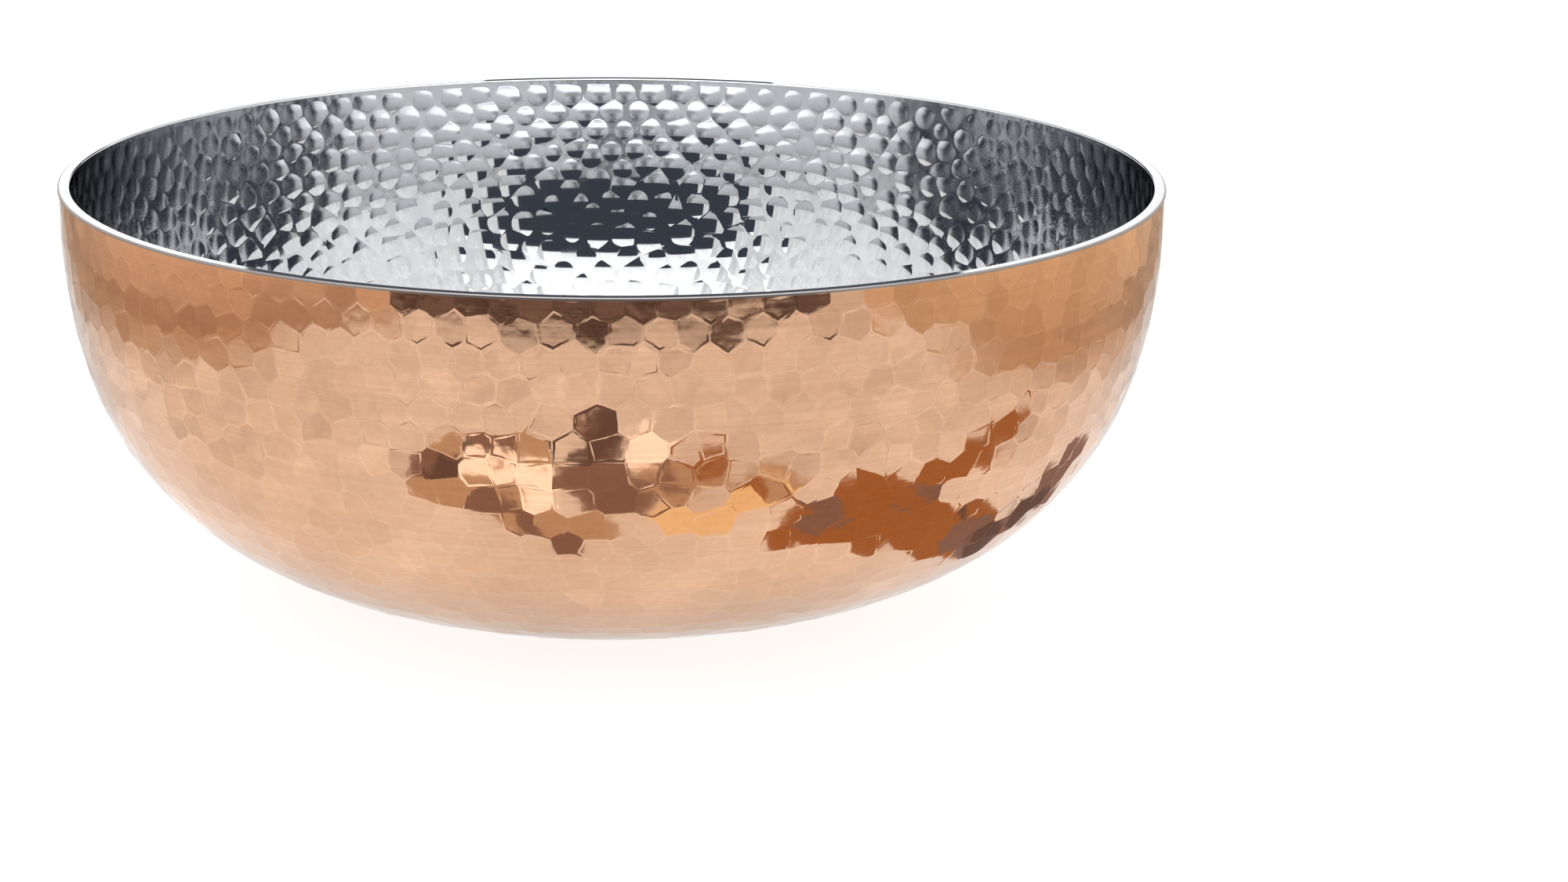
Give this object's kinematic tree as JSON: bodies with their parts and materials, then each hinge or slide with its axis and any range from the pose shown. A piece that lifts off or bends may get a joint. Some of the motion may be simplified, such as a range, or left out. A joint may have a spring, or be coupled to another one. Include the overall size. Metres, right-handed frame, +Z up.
{
  "type": "serving bowl",
  "caption": "Round double-wall serving bowl: faceted hammered copper outside, dimpled bright steel lining, smooth folded steel lip.",
  "frame": {"origin": "on the bowl's axis, at the middle of the ring that it stands on", "axes": "+Z up along the bowl's axis; the bowl is round, so X and Y have no meaning of their own"},
  "size_m": [0.33, 0.33, 0.125],
  "materials": {
    "copper": "hammered, softly polished",
    "bright_steel": "hammered, bright polished",
    "wire_steel": "drawn",
    "solder": "dull"
  },
  "bodies": {
    "root": {"outer_shell": "copper", "inner_shell": "bright_steel", "rim_wire": "wire_steel", "seam_solder": "solder", "vent_plug": "copper"}
  },
  "joints": []
}
